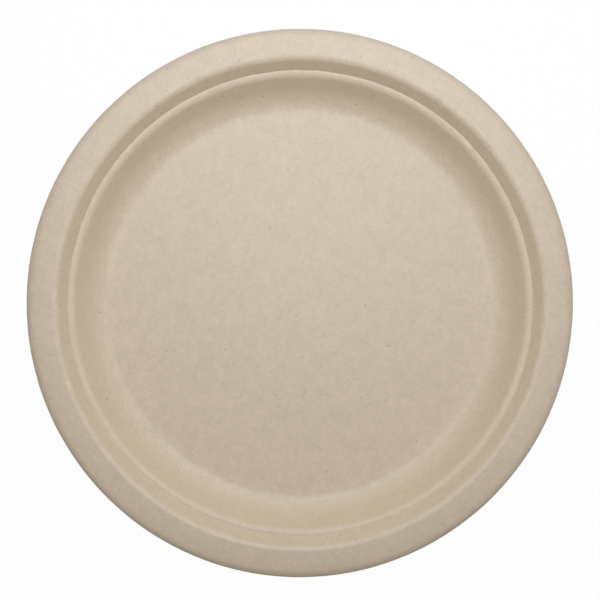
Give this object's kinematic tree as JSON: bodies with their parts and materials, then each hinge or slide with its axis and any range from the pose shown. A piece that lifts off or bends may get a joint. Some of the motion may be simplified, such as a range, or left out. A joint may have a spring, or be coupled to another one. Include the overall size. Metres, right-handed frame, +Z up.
{
  "type": "paper plate",
  "caption": "Round moulded-fibre plate: wide flat floor, steep curved wall, narrow stacking ledge, gently crowned rim and turned-down lip.",
  "frame": {"origin": "centre of the flat underside, where the plate stands on the table", "axes": "+Z up out of the well, along the plate's axis; X and Y are equal, as the plate is round"},
  "size_m": [0.26, 0.26, 0.02],
  "materials": {
    "moulded_fibre": "matt"
  },
  "bodies": {
    "root": {"plate": "moulded_fibre"}
  },
  "joints": []
}
